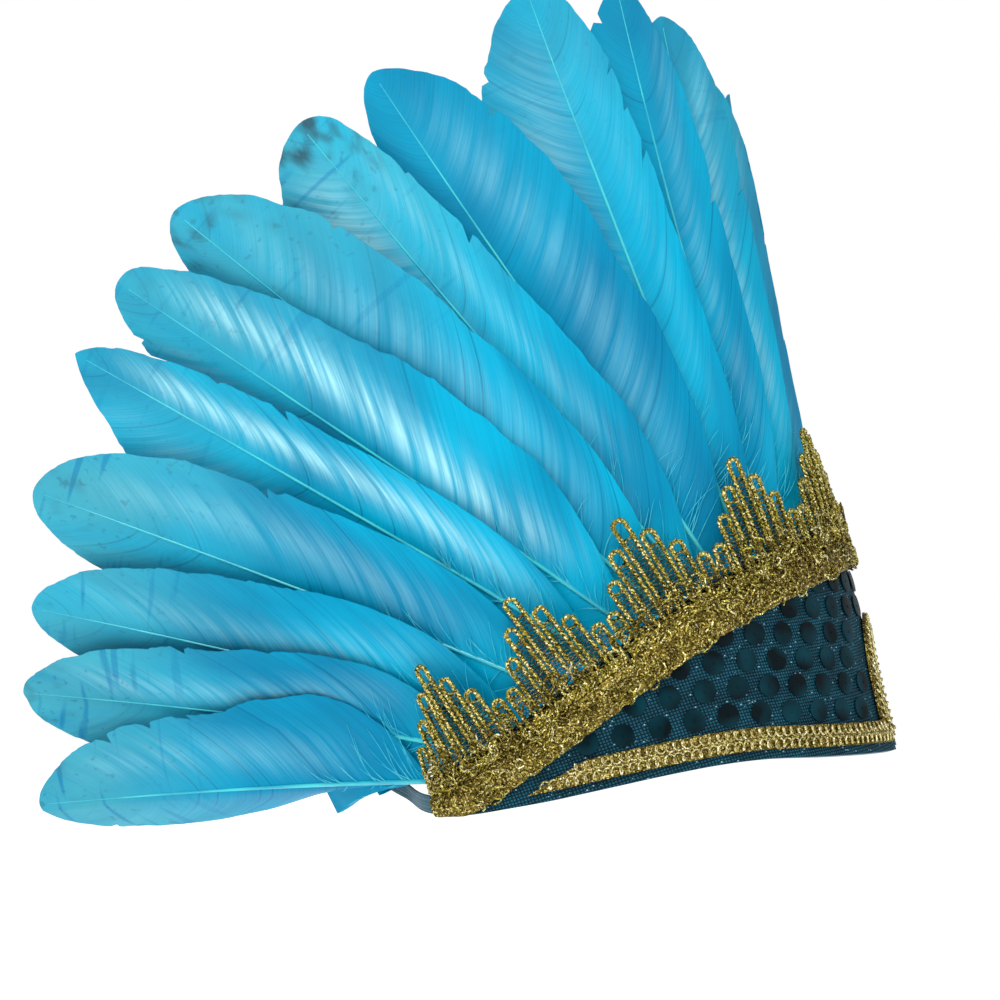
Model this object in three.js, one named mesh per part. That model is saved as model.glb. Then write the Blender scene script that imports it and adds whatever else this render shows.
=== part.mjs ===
// A feathered headdress: a stiff fabric-covered front panel, bent round the forehead, that carries
// a fan of broad dyed goose feathers. Gold looped lace hides the quills, a gold tinsel heading runs
// under the lace, a narrow gold braid follows the lower edge, and a plain elastic closes the back.
//
// Millimetres, +Z up. The wearer faces -Y, so the wearer's right is -X. The origin is the middle of
// the head opening, level with the panel's lower edge at the forehead. An angle goes round the
// opening from 0 at the forehead, positive to the wearer's right and negative to the left.

import * as THREE from 'three';
import { mergeVertices } from 'three/addons/utils/BufferGeometryUtils.js';

const DEGREE = Math.PI / 180;
const UP = new THREE.Vector3(0, 0, 1);

// ---------------------------------------------------------------- driving dimensions

const opening = { halfWidth: 78, halfDepth: 95 };
const panel = {
  thickness: 2.4, endAngle: 118, frontHeight: 75, endHeight: 12, fall: 1.25,
  drop: 19, dropFrom: 50, dropTo: 125, lean: 16, rows: 4,
};
const arch = { halfWidth: 12, height: 35, squareness: 2.2, steps: 8 };
const gap = 0.3;
const braid = { margin: 2.8, width: 7, thickness: 1.8, crown: 0.8, endAngle: 99, mitre: 1.7 };
const tinsel = { from: -14, to: -3.6, thickness: 2.2, crown: 1.4, columns: 40 };
const lace = {
  motifs: 10, loops: 7, thickness: 1.8, cord: 1.75, spacing: 0.5, foot: -3.2, setBack: 2,
  valley: 12, peak: 34,
};
const strap = {
  thickness: 1.2, bottom: 0.3, top: 6.3, lap: 8, inward: 10, turn: 16, rise: 12, riseTurn: 45,
  columns: 36,
};
const quill = { halfWidth: 1.4, halfThickness: 1.0, seat: 0.84, behindPanel: 3.6, bareShare: 0.03 };
const wrap = { most: 25, least: 3, beyond: 2 };
const vane = {
  thickness: 0.9, shingle: 0.2, curl: 5, earCurl: 13, curlFrom: 70, widest: 0.58,
  rows: [0, 0.06, 0.16, 0.3, 0.5, 0.7, 0.85, 0.94, 0.985, 1],
};
const across = [-1, -0.5, 0, 0.5, 1];

// One row for each feather of the right half, from the forehead back. The left half mirrors them,
// and the first row stands alone in the middle. at: where the quill leaves the panel. fan: how far
// it turns back from upright. point: 0.5 is a round tip and 1 a sharp one. Lengths are in
// millimetres and angles in degrees.
const feathers = [
  { name: 'front', at: 0, fan: 0, length: 156, width: 40, point: 0.6 },
  { name: 'fore_a', at: 14, fan: 2.5, length: 158, width: 42, point: 0.7 },
  { name: 'fore_b', at: 25, fan: 3.5, length: 177, width: 43, point: 0.6 },
  { name: 'crown_a', at: 34, fan: 4, length: 189, width: 44, point: 0.8 },
  { name: 'crown_b', at: 42, fan: 9, length: 190, width: 45, point: 0.6 },
  { name: 'crown_c', at: 49, fan: 24, length: 178, width: 45, point: 0.6 },
  { name: 'temple_a', at: 55.5, fan: 30, length: 174, width: 48, point: 0.5 },
  { name: 'temple_b', at: 62, fan: 43, length: 176, width: 47, point: 0.55 },
  { name: 'temple_c', at: 69, fan: 49, length: 174, width: 48, point: 0.5 },
  { name: 'side_a', at: 77, fan: 54, length: 171, width: 47, point: 0.8 },
  { name: 'side_b', at: 86, fan: 66, length: 165, width: 50, point: 0.55 },
  { name: 'side_c', at: 95.5, fan: 75, length: 155, width: 50, point: 0.6 },
  { name: 'ear_a', at: 104, fan: 82, length: 153, width: 48, point: 0.6 },
  { name: 'ear_b', at: 117, fan: 93, length: 138, width: 42, point: 0.6 },
];

// ---------------------------------------------------------------- small helpers

const clamp01 = (x) => Math.min(1, Math.max(0, x));
const easeBetween = (from, to, x) => {
  const share = clamp01((x - from) / (to - from));
  return share * share * (3 - 2 * share);
};

// A smooth curve through the table: cubic between rows, straight beyond the last one.
function fanAngle(angle) {
  const turn = Math.sign(angle);
  const a = Math.abs(angle);
  const last = feathers.length - 1;
  const slopeAt = (i) => {
    const before = i === 0 ? { at: -feathers[1].at, fan: -feathers[1].fan } : feathers[i - 1];
    const after = feathers[Math.min(i + 1, last)];
    return (after.fan - before.fan) / (after.at - before.at);
  };
  if (a >= feathers[last].at) {
    return turn * (feathers[last].fan + slopeAt(last) * (a - feathers[last].at));
  }
  const i = feathers.findIndex((f) => f.at > a) - 1;
  const step = feathers[i + 1].at - feathers[i].at;
  const s = (a - feathers[i].at) / step;
  return turn * (
    feathers[i].fan * (1 + 2 * s) * (1 - s) ** 2 + slopeAt(i) * step * s * (1 - s) ** 2
    + feathers[i + 1].fan * s * s * (3 - 2 * s) + slopeAt(i + 1) * step * s * s * (s - 1));
}

// ---------------------------------------------------------------- the surfaces that pieces lie on

function planFrame(angle) {
  const t = angle * DEGREE;
  const outward = new THREE.Vector3(
    -opening.halfDepth * Math.sin(t), -opening.halfWidth * Math.cos(t), 0).normalize();
  const round = new THREE.Vector3(
    -opening.halfWidth * Math.cos(t), opening.halfDepth * Math.sin(t), 0).normalize();
  return { outward, round };
}

function panelHeight(angle) {
  const quarter = angle * 90 / panel.endAngle * DEGREE;
  const share = Math.max(0, Math.cos(quarter)) ** panel.fall;
  return panel.endHeight + (panel.frontHeight - panel.endHeight) * share;
}

// The wall leans back by the same amount all the way round, like a tilted oval tube.
const rise = new THREE.Vector3(0, Math.sin(panel.lean * DEGREE), Math.cos(panel.lean * DEGREE));

function wallFrame(angle) {
  const { outward, round } = planFrame(angle);
  const normal = outward.addScaledVector(rise, -outward.dot(rise)).normalize();
  return { normal, round };
}

const dropAt = (angle) => panel.drop * easeBetween(panel.dropFrom, panel.dropTo, Math.abs(angle));

function panelPoint(angle, height, offset) {
  const t = angle * DEGREE;
  const { normal } = wallFrame(angle);
  return new THREE.Vector3(
    -opening.halfWidth * Math.sin(t), -opening.halfDepth * Math.cos(t), -dropAt(angle))
    .addScaledVector(rise, height)
    .addScaledVector(normal, offset);
}

// The fan's surface: lines from the quills' seats that keep to the panel's curve behind it, then run
// straight on, and curl outward along their length.
function fanPoint(angle, along) {
  const fan = fanAngle(angle) * DEGREE;
  const backward = along * Math.sin(fan);
  const t = angle * DEGREE;
  const radius = Math.hypot(opening.halfWidth * Math.cos(t), opening.halfDepth * Math.sin(t));
  const left = (panel.endAngle + wrap.beyond - Math.abs(angle)) * DEGREE * radius;
  const most = Math.min(wrap.most, Math.max(wrap.least, left));
  const held = Math.sign(backward) * Math.min(Math.abs(backward), most);
  const turned = angle + held / radius / DEGREE;
  const { normal, round } = wallFrame(turned);
  const height = quill.seat * panelHeight(angle) + along * Math.cos(fan);
  const curl = vane.curl + vane.earCurl * easeBetween(vane.curlFrom, panel.endAngle, Math.abs(angle));
  return new THREE.Vector3(
    -opening.halfWidth * Math.sin(turned * DEGREE),
    -opening.halfDepth * Math.cos(turned * DEGREE), -dropAt(angle))
    .addScaledVector(rise, height)
    .addScaledVector(round, backward - held)
    .addScaledVector(normal, curl * (along / 100) ** 2 - panel.thickness - quill.behindPanel);
}

function fanFrame(angle, along) {
  const nudge = 0.05;
  const lengthwise = fanPoint(angle, along + nudge).sub(fanPoint(angle, along - nudge)).normalize();
  const sideways = fanPoint(angle + nudge, along).sub(fanPoint(angle - nudge, along))
    .divideScalar(2 * nudge);
  const skew = sideways.dot(lengthwise);
  const square = sideways.clone().addScaledVector(lengthwise, -skew);
  const normal = square.clone().cross(lengthwise).normalize();
  if (normal.dot(wallFrame(angle).normal) < 0) normal.negate();
  return { skew, stretch: square.length(), normal };
}

// The point of the fan's surface that is `along` a feather's quill and `sideways` off it.
function vanePoint(angle, along, sideways, height) {
  const { skew, stretch } = fanFrame(angle, along);
  const turned = sideways / stretch;
  const there = fanPoint(angle + turned, along - skew * turned);
  return there.addScaledVector(fanFrame(angle + turned, along - skew * turned).normal, height);
}

// The panel's upper edge, measured along its own length from the middle.
const edgeTable = (() => {
  const rows = [{ angle: 0, length: 0 }];
  let last = panelPoint(0, panelHeight(0) - lace.setBack, 0);
  for (let angle = 1; angle <= panel.endAngle; angle += 1) {
    const next = panelPoint(angle, panelHeight(angle) - lace.setBack, 0);
    rows.push({ angle, length: rows[rows.length - 1].length + next.distanceTo(last) });
    last = next;
  }
  return rows;
})();
const halfEdge = edgeTable[edgeTable.length - 1].length;

function edgeAngle(length) {
  const wanted = Math.abs(length);
  const i = Math.min(edgeTable.findIndex((row) => row.length > wanted), edgeTable.length - 1);
  const above = i < 1 ? edgeTable.length - 1 : i;
  const low = edgeTable[above - 1];
  const high = edgeTable[above];
  const share = (wanted - low.length) / (high.length - low.length);
  return Math.sign(length) * (low.angle + (high.angle - low.angle) * share);
}

// A point off the panel's upper edge: `up` is square to the edge, and it follows the fan's curl.
function edgePoint(length, up, offset) {
  const angle = edgeAngle(length);
  const at = (a) => panelPoint(a, panelHeight(a) - lace.setBack, 0);
  const along = at(angle + 0.5).sub(at(angle - 0.5)).normalize();
  const { normal } = wallFrame(angle);
  const square = normal.clone().cross(along).normalize();
  if (square.dot(rise) < 0) square.negate();
  const curl = up > 0 ? vane.curl * ((up + 12) / 100) ** 2 : 0;
  return at(angle).addScaledVector(square, up).addScaledVector(normal, offset + curl);
}

// ---------------------------------------------------------------- solids from plates

// A closed solid from a patch of four-cornered faces that has a front and a back.
function plateSolid(front, back, faces) {
  const count = front.length;
  const triangles = [];
  const edges = new Map();
  for (const face of faces) {
    const [a, b, c, d] = face;
    triangles.push(a, b, c, a, c, d);
    triangles.push(count + a, count + c, count + b, count + a, count + d, count + c);
    face.forEach((from, i) => edges.set(`${from},${face[(i + 1) % 4]}`, [from, face[(i + 1) % 4]]));
  }
  for (const [from, to] of edges.values()) {
    if (edges.has(`${to},${from}`)) continue;
    triangles.push(from, count + to, to, from, count + from, count + to);
  }
  const points = [...front, ...back];
  let volume = 0;
  for (let i = 0; i < triangles.length; i += 3) {
    const [a, b, c] = [0, 1, 2].map((k) => points[triangles[i + k]]);
    volume += a.dot(b.clone().cross(c));
  }
  if (volume < 0) triangles.reverse();
  const geometry = new THREE.BufferGeometry();
  const flat = points.flatMap((p) => [p.x, p.y, p.z]);
  geometry.setAttribute('position', new THREE.Float32BufferAttribute(flat, 3));
  geometry.setIndex(triangles);
  return mergeVertices(geometry, 1e-4);
}

// The faces of a grid of points, where point (column, row) is number column * rows + row.
function gridFaces(columns, rows) {
  const faces = [];
  for (let c = 0; c < columns - 1; c += 1) {
    for (let r = 0; r < rows - 1; r += 1) {
      const i = c * rows + r;
      faces.push([i, i + rows, i + rows + 1, i + 1]);
    }
  }
  return faces;
}

const evenly = (from, to, steps) => Array.from(
  { length: steps + 1 }, (_, i) => from + (to - from) * i / steps);
const bothSides = (rights) => {
  const lefts = rights.slice().reverse().map((p) => ({ ...p, angle: -p.angle }));
  return [...lefts, ...rights.slice(rights[0].angle === 0 ? 1 : 0)];
};

// ---------------------------------------------------------------- the panel and its braid

// The arched cut over the brow, widened by `margin`: where its edge is, from the top to the foot.
function archEdge(margin, steps) {
  const halfWidth = arch.halfWidth + margin;
  const height = arch.height + margin;
  const power = 2 / arch.squareness;
  const last = Math.acos((margin / height) ** (1 / power));
  return evenly(0, last, steps).map((turn) => ({
    angle: Math.asin(Math.min(1, halfWidth * Math.sin(turn) ** power / opening.halfWidth)) / DEGREE,
    height: Math.max(margin, height * Math.cos(turn) ** power),
  }));
}

function makePanel() {
  const curve = archEdge(0, arch.steps);
  const foot = curve[curve.length - 1];
  foot.height = 0;
  const rest = evenly(foot.angle, panel.endAngle, 15).slice(1).map((angle) => ({ angle, height: 0 }));
  const columns = bothSides([...curve, ...rest]);
  const front = [];
  const back = [];
  for (const { angle, height } of columns) {
    for (const share of evenly(0, 1, panel.rows)) {
      const up = height + (panelHeight(angle) - height) * share;
      front.push(panelPoint(angle, up, 0));
      back.push(panelPoint(angle, up, -panel.thickness));
    }
  }
  return plateSolid(front, back, gridFaces(columns.length, panel.rows + 1));
}

function makeBraid() {
  const line = (share) => {
    const margin = braid.margin + braid.width * share;
    const curve = archEdge(margin, arch.steps);
    const end = braid.endAngle - braid.mitre * (margin - braid.margin);
    const straight = evenly(curve[curve.length - 1].angle, end, 20).slice(1);
    return bothSides([...curve, ...straight.map((angle) => ({ angle, height: margin }))]);
  };
  const shares = [0, 0.5, 1];
  const lines = shares.map(line);
  const front = [];
  const back = [];
  lines[0].forEach((_, c) => shares.forEach((share, r) => {
    const { angle, height } = lines[r][c];
    const crown = braid.crown * 4 * share * (1 - share);
    front.push(panelPoint(angle, height, gap + braid.thickness + crown - braid.crown));
    back.push(panelPoint(angle, height, gap));
  }));
  return plateSolid(front, back, gridFaces(lines[0].length, shares.length));
}

// ---------------------------------------------------------------- gold trims on the upper edge

function makeTinsel() {
  const shares = [0, 0.5, 1];
  const reach = halfEdge - 0.5;
  const lengths = evenly(-reach, reach, tinsel.columns);
  const front = [];
  const back = [];
  for (const length of lengths) {
    const angle = edgeAngle(length);
    const along = panelPoint(angle + 0.5, panelHeight(angle + 0.5), 0)
      .sub(panelPoint(angle - 0.5, panelHeight(angle - 0.5), 0)).normalize();
    const upright = Math.sqrt(1 - along.z ** 2);
    const lowest = Math.max(tinsel.from, -(panelHeight(angle) - lace.setBack - 0.6) / upright);
    for (const share of shares) {
      const up = lowest + (tinsel.to - lowest) * share;
      const crown = tinsel.crown * 4 * share * (1 - share);
      front.push(edgePoint(length, up, gap + tinsel.thickness + crown));
      back.push(edgePoint(length, up, gap));
    }
  }
  return plateSolid(front, back, gridFaces(lengths.length, shares.length));
}

// One scallop of looped lace: loops of cord side by side on a common foot, tallest in the middle.
function makeLaceMotif(index) {
  const width = 2 * halfEdge / lace.motifs;
  const start = -halfEdge + index * width + lace.spacing / 2;
  const pitch = (width - lace.spacing) / lace.loops;
  const turns = evenly(0, 180, 3);
  const flat = [];
  const faces = [];
  const add = (length, up) => flat.push({ length, up }) - 1;
  let last = [add(start, lace.foot), add(start, 0)];
  for (let loop = 0; loop < lace.loops; loop += 1) {
    const middle = start + pitch * (loop + 0.5);
    const off = Math.abs(loop - (lace.loops - 1) / 2) / ((lace.loops - 1) / 2);
    const height = lace.peak + (lace.valley - lace.peak) * off;
    const outer = pitch / 2;
    const inner = outer - lace.cord;
    const feet = [middle - inner, middle + inner, middle + outer]
      .map((length) => [add(length, lace.foot), add(length, 0)]);
    const columns = [last, ...feet];
    for (let i = 0; i < 3; i += 1) {
      faces.push([columns[i][0], columns[i + 1][0], columns[i + 1][1], columns[i][1]]);
    }
    const tipGap = 0.25;
    const ring = turns.map((turn) => {
      const side = -Math.cos(turn * DEGREE);
      const rise = Math.sin(turn * DEGREE);
      return [
        add(middle + side * (outer - tipGap), height - outer + rise * outer),
        add(middle + side * inner, height - outer + rise * inner),
      ];
    });
    faces.push([columns[0][1], columns[1][1], ring[0][1], ring[0][0]]);
    for (let i = 0; i < ring.length - 1; i += 1) {
      faces.push([ring[i][0], ring[i][1], ring[i + 1][1], ring[i + 1][0]]);
    }
    const end = ring[ring.length - 1];
    faces.push([end[0], end[1], columns[2][1], columns[3][1]]);
    last = feet[2];
  }
  const front = flat.map(({ length, up }) => edgePoint(length, up, gap + lace.thickness));
  const back = flat.map(({ length, up }) => edgePoint(length, up, gap));
  return plateSolid(front, back, faces);
}

// ---------------------------------------------------------------- feathers

// Half the width of a feather as a share of its widest, at a share of its length.
function vaneShare(share, point) {
  const up = clamp01((share - quill.bareShare) / (1 - quill.bareShare));
  if (up < vane.widest) return 1 - (1 - up / vane.widest) ** 3;
  return Math.max(0, 1 - ((up - vane.widest) / (1 - vane.widest)) ** 3) ** point;
}

function makeFeather(row, side) {
  const alone = row.at === 0;
  const front = [];
  const back = [];
  for (const share of vane.rows) {
    const half = Math.max(quill.halfWidth, row.width / 2 * vaneShare(share, row.point));
    const along = share * row.length;
    const taper = 1 - 0.6 * share;
    for (const part of across) {
      const sideways = half * part;
      // A feather's forward edge lies over the next one towards the forehead.
      const height = alone ? -vane.shingle * Math.abs(half * part) : -vane.shingle * half * part;
      const thick = part === 0 ? quill.halfThickness * taper : vane.thickness / 2;
      const frontPoint = vanePoint(row.at, along, sideways, height + thick);
      const backPoint = vanePoint(row.at, along, sideways, height - thick);
      front.push(frontPoint.setX(side * frontPoint.x));
      back.push(backPoint.setX(side * backPoint.x));
    }
  }
  return plateSolid(front, back, gridFaces(vane.rows.length, across.length));
}

// ---------------------------------------------------------------- the elastic at the back

function makeStrap() {
  const from = panel.endAngle - strap.lap;
  const endDrop = panelPoint(panel.endAngle, 0, 0).z;
  const front = [];
  const back = [];
  for (const angle of evenly(from, 360 - from, strap.columns)) {
    const near = Math.min(angle, 360 - angle);
    const signed = angle > 180 ? angle - 360 : angle;
    const { outward } = planFrame(angle);
    const slack = strap.inward * easeBetween(panel.endAngle, panel.endAngle + strap.turn, near);
    const lift = strap.rise * easeBetween(panel.endAngle, panel.endAngle + strap.riseTurn, near);
    for (const height of [strap.bottom, strap.top]) {
      const seat = near < panel.endAngle
        ? panelPoint(signed, height, -panel.thickness - gap)
        : panelPoint(signed, height, -panel.thickness - gap - slack).setZ(endDrop + height + lift);
      front.push(seat);
      back.push(seat.clone().addScaledVector(outward, -strap.thickness));
    }
  }
  return plateSolid(front, back, gridFaces(strap.columns + 1, 2));
}

// ---------------------------------------------------------------- materials and assembly

const finish = (color, roughness, metalness) => new THREE.MeshStandardMaterial(
  { color, roughness, metalness });
const sequinCloth = finish(0x1c5468, 0.45, 0.3);
const goldThread = finish(0xb09a3c, 0.35, 0.8);
const blueFeather = finish(0x15a9cf, 0.45, 0);
const elasticBand = finish(0x1b4a58, 0.8, 0);

const headdress = new THREE.Group();
function addPiece(name, geometry, material) {
  const mesh = new THREE.Mesh(geometry, material);
  mesh.name = name;
  headdress.add(mesh);
}

addPiece('front_panel', makePanel(), sequinCloth);
addPiece('edge_braid', makeBraid(), goldThread);
addPiece('tinsel_heading', makeTinsel(), goldThread);
for (let i = 0; i < lace.motifs; i += 1) addPiece(`lace_scallop_${i + 1}`, makeLaceMotif(i), goldThread);
addPiece('back_elastic', makeStrap(), elasticBand);
for (const row of feathers) {
  if (row.at === 0) {
    addPiece(`feather_${row.name}`, makeFeather(row, 1), blueFeather);
  } else {
    addPiece(`feather_${row.name}_right`, makeFeather(row, 1), blueFeather);
    addPiece(`feather_${row.name}_left`, makeFeather(row, -1), blueFeather);
  }
}

export default headdress;
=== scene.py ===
# A feathered headdress: a curved panel in glitter mesh with sequins, gold braid along its lower
# edge, a tinsel heading and looped gold lace along its upper edge, and a fan of dyed goose feathers.
#
# Sizes are millimetres on the pieces' own surfaces and become metres where a point is placed.
# The wearer faces -Y and the wearer's right is -X. Angles go round the head from the forehead.

import math
import random

import bpy
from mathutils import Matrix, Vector, noise


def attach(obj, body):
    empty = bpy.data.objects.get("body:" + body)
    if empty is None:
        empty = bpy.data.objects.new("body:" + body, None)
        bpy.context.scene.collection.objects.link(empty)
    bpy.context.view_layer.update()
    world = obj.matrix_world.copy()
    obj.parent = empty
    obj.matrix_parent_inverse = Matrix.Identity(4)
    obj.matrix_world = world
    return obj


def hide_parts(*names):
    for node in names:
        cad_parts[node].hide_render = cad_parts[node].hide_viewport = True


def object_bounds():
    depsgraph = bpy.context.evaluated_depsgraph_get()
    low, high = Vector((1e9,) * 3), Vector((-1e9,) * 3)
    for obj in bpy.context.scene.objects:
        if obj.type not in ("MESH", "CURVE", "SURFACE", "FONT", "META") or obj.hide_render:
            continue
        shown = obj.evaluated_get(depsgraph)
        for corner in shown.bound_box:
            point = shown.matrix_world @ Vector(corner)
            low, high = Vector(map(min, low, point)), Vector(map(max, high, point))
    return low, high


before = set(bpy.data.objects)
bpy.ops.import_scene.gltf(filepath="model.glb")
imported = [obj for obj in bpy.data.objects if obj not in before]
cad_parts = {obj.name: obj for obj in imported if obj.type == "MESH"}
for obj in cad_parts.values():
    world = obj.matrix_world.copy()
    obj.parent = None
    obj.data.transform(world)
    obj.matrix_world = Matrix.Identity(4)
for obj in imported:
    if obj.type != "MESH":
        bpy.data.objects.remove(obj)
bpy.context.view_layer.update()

MM = 0.001
UP = Vector((0, 0, 1))

# ---------------------------------------------------------------- sizes shared with the solids

HALF_WIDTH = 78
HALF_DEPTH = 95
PANEL_THICKNESS = 2.4
PANEL_END = 118
FRONT_HEIGHT = 75
END_HEIGHT = 12
HEIGHT_FALL = 1.25
DROP = 19
DROP_FROM = 50
DROP_TO = 125
LEAN = math.radians(16)
ARCH_HALF_WIDTH = 12
ARCH_HEIGHT = 35
ARCH_POWER = 2.2
TRIM_GAP = 0.3
BRAID_MARGIN = 2.8
BRAID_WIDTH = 7
BRAID_END = 99
BRAID_MITRE = 1.7
SET_BACK = 2
TINSEL_FROM = -14
TINSEL_TO = -3.6
SCALLOPS = 10
LOOPS = 7
LOOP_PEAK = 34
LOOP_VALLEY = 12
LACE_FOOT = -3.2
LACE_SPACING = 0.5
SEAT = 0.84
BEHIND_PANEL = 3.6
WRAP_MOST = 25
WRAP_LEAST = 3
WRAP_BEYOND = 2
SHINGLE = 0.2
CURL = 5
EAR_CURL = 13
CURL_FROM = 70
BARE_SHARE = 0.03
WIDEST = 0.58
LACE_CURL_FROM = -12
LOWER_EDGE_GAP = 0.6

# name, place round the head, turn of the quill, length, width, bluntness of the tip
FEATHERS = [
    ("front", 0, 0, 156, 40, 0.6),
    ("fore_a", 14, 2.5, 158, 42, 0.7),
    ("fore_b", 25, 3.5, 177, 43, 0.6),
    ("crown_a", 34, 4, 189, 44, 0.8),
    ("crown_b", 42, 9, 190, 45, 0.6),
    ("crown_c", 49, 24, 178, 45, 0.6),
    ("temple_a", 55.5, 30, 174, 48, 0.5),
    ("temple_b", 62, 43, 176, 47, 0.55),
    ("temple_c", 69, 49, 174, 48, 0.5),
    ("side_a", 77, 54, 171, 47, 0.8),
    ("side_b", 86, 66, 165, 50, 0.55),
    ("side_c", 95.5, 75, 155, 50, 0.6),
    ("ear_a", 104, 82, 153, 48, 0.6),
    ("ear_b", 117, 93, 138, 42, 0.6),
]


# ---------------------------------------------------------------- the surfaces that pieces lie on

def ease(low, high, value):
    share = min(1, max(0, (value - low) / (high - low)))
    return share * share * (3 - 2 * share)


def fan_angle(angle):
    """How far a quill at this place turns back, in degrees: a smooth curve through the table."""
    turn = -1 if angle < 0 else 1
    place = abs(angle)
    last = len(FEATHERS) - 1

    def slope(i):
        before = FEATHERS[i - 1][1:3] if i else (-FEATHERS[1][1], -FEATHERS[1][2])
        after = FEATHERS[min(i + 1, last)][1:3]
        return (after[1] - before[1]) / (after[0] - before[0])

    if place >= FEATHERS[last][1]:
        return turn * (FEATHERS[last][2] + slope(last) * (place - FEATHERS[last][1]))
    i = next(k for k, row in enumerate(FEATHERS) if row[1] > place) - 1
    step = FEATHERS[i + 1][1] - FEATHERS[i][1]
    s = (place - FEATHERS[i][1]) / step
    return turn * (
        FEATHERS[i][2] * (1 + 2 * s) * (1 - s) ** 2 + slope(i) * step * s * (1 - s) ** 2
        + FEATHERS[i + 1][2] * s * s * (3 - 2 * s) + slope(i + 1) * step * s * s * (s - 1))


RISE = Vector((0, math.sin(LEAN), math.cos(LEAN)))


def wall_frame(angle):
    """The wall's outward normal and its direction round the head."""
    t = math.radians(angle)
    outward = Vector((-HALF_DEPTH * math.sin(t), -HALF_WIDTH * math.cos(t), 0)).normalized()
    around = Vector((-HALF_WIDTH * math.cos(t), HALF_DEPTH * math.sin(t), 0)).normalized()
    return (outward - RISE * outward.dot(RISE)).normalized(), around


def foot_point(angle):
    t = math.radians(angle)
    return Vector((-HALF_WIDTH * math.sin(t), -HALF_DEPTH * math.cos(t), 0))


def drop_at(angle):
    return DROP * ease(DROP_FROM, DROP_TO, abs(angle))


def panel_height(angle):
    quarter = math.radians(angle * 90 / PANEL_END)
    return END_HEIGHT + (FRONT_HEIGHT - END_HEIGHT) * max(0, math.cos(quarter)) ** HEIGHT_FALL


def panel_point(angle, height, offset):
    normal, _ = wall_frame(angle)
    return foot_point(angle) - UP * drop_at(angle) + RISE * height + normal * offset


def fan_point(angle, along):
    fan = math.radians(fan_angle(angle))
    backward = along * math.sin(fan)
    t = math.radians(angle)
    radius = math.hypot(HALF_WIDTH * math.cos(t), HALF_DEPTH * math.sin(t))
    left = math.radians(PANEL_END + WRAP_BEYOND - abs(angle)) * radius
    most = min(WRAP_MOST, max(WRAP_LEAST, left))
    held = math.copysign(min(abs(backward), most), backward)
    turned = angle + math.degrees(held / radius)
    normal, around = wall_frame(turned)
    height = SEAT * panel_height(angle) + along * math.cos(fan)
    curl = CURL + EAR_CURL * ease(CURL_FROM, PANEL_END, abs(angle))
    offset = curl * (along / 100) ** 2 - PANEL_THICKNESS - BEHIND_PANEL
    return (foot_point(turned) - UP * drop_at(angle) + RISE * height
            + around * (backward - held) + normal * offset)


def fan_frame(angle, along):
    nudge = 0.05
    lengthwise = (fan_point(angle, along + nudge) - fan_point(angle, along - nudge)).normalized()
    sideways = (fan_point(angle + nudge, along) - fan_point(angle - nudge, along)) / (2 * nudge)
    skew = sideways.dot(lengthwise)
    square = sideways - lengthwise * skew
    normal = square.cross(lengthwise).normalized()
    if normal.dot(wall_frame(angle)[0]) < 0:
        normal.negate()
    return skew, square.length, normal


def vane_point(angle, along, sideways, height):
    """A point off a quill: `along` it, `sideways` towards the back, and `height` off the fan."""
    skew, stretch, _ = fan_frame(angle, along)
    turned = sideways / stretch
    there = fan_point(angle + turned, along - skew * turned)
    return there + fan_frame(angle + turned, along - skew * turned)[2] * height


EDGE_TABLE = [(0.0, 0.0)]
for degree in range(1, PANEL_END + 1):
    step_from = panel_point(degree - 1, panel_height(degree - 1) - SET_BACK, 0)
    step_to = panel_point(degree, panel_height(degree) - SET_BACK, 0)
    EDGE_TABLE.append((float(degree), EDGE_TABLE[-1][1] + (step_to - step_from).length))
HALF_EDGE = EDGE_TABLE[-1][1]


def edge_angle(length):
    wanted = abs(length)
    above = next((i for i, row in enumerate(EDGE_TABLE) if row[1] > wanted), len(EDGE_TABLE) - 1)
    low, high = EDGE_TABLE[above - 1], EDGE_TABLE[above]
    share = (wanted - low[1]) / (high[1] - low[1])
    return math.copysign(low[0] + (high[0] - low[0]) * share, length)


def edge_point(length, up, offset):
    """A point off the panel's upper edge; `up` is square to the edge."""
    angle = edge_angle(length)

    def at(a):
        return panel_point(a, panel_height(a) - SET_BACK, 0)

    along = (at(angle + 0.5) - at(angle - 0.5)).normalized()
    normal, _ = wall_frame(angle)
    square = normal.cross(along).normalized()
    if square.dot(RISE) < 0:
        square.negate()
    curl = CURL * ((up - LACE_CURL_FROM) / 100) ** 2 if up > 0 else 0
    return at(angle) + square * up + normal * (offset + curl)


def edge_floor(length):
    """How far down from the upper edge the panel reaches, square to that edge."""
    angle = edge_angle(length)
    return -(panel_height(angle) - SET_BACK - LOWER_EDGE_GAP) * edge_slant(angle)


def edge_slant(angle):
    """What the slope of the upper edge lengthens a distance to it by: one over its cosine."""
    along = (panel_point(angle + 0.5, panel_height(angle + 0.5), 0)
             - panel_point(angle - 0.5, panel_height(angle - 0.5), 0)).normalized()
    return 1 / math.sqrt(1 - along.z ** 2)


def arch_edge(margin, steps):
    """The arched cut over the brow, widened by a margin: (angle, height) from its top to its foot."""
    half_width = ARCH_HALF_WIDTH + margin
    height = ARCH_HEIGHT + margin
    power = 2 / ARCH_POWER
    last = math.acos((margin / height) ** (1 / power))
    points = []
    for i in range(steps + 1):
        turn = last * i / steps
        x = min(1, half_width * math.sin(turn) ** power / HALF_WIDTH)
        rise = height * max(0, math.cos(turn)) ** power
        points.append((math.degrees(math.asin(x)), max(margin, rise)))
    return points


# ---------------------------------------------------------------- making and joining meshes

def only(*objects):
    bpy.ops.object.select_all(action="DESELECT")
    for obj in objects:
        obj.select_set(True)
    bpy.context.view_layer.objects.active = objects[0]


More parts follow.
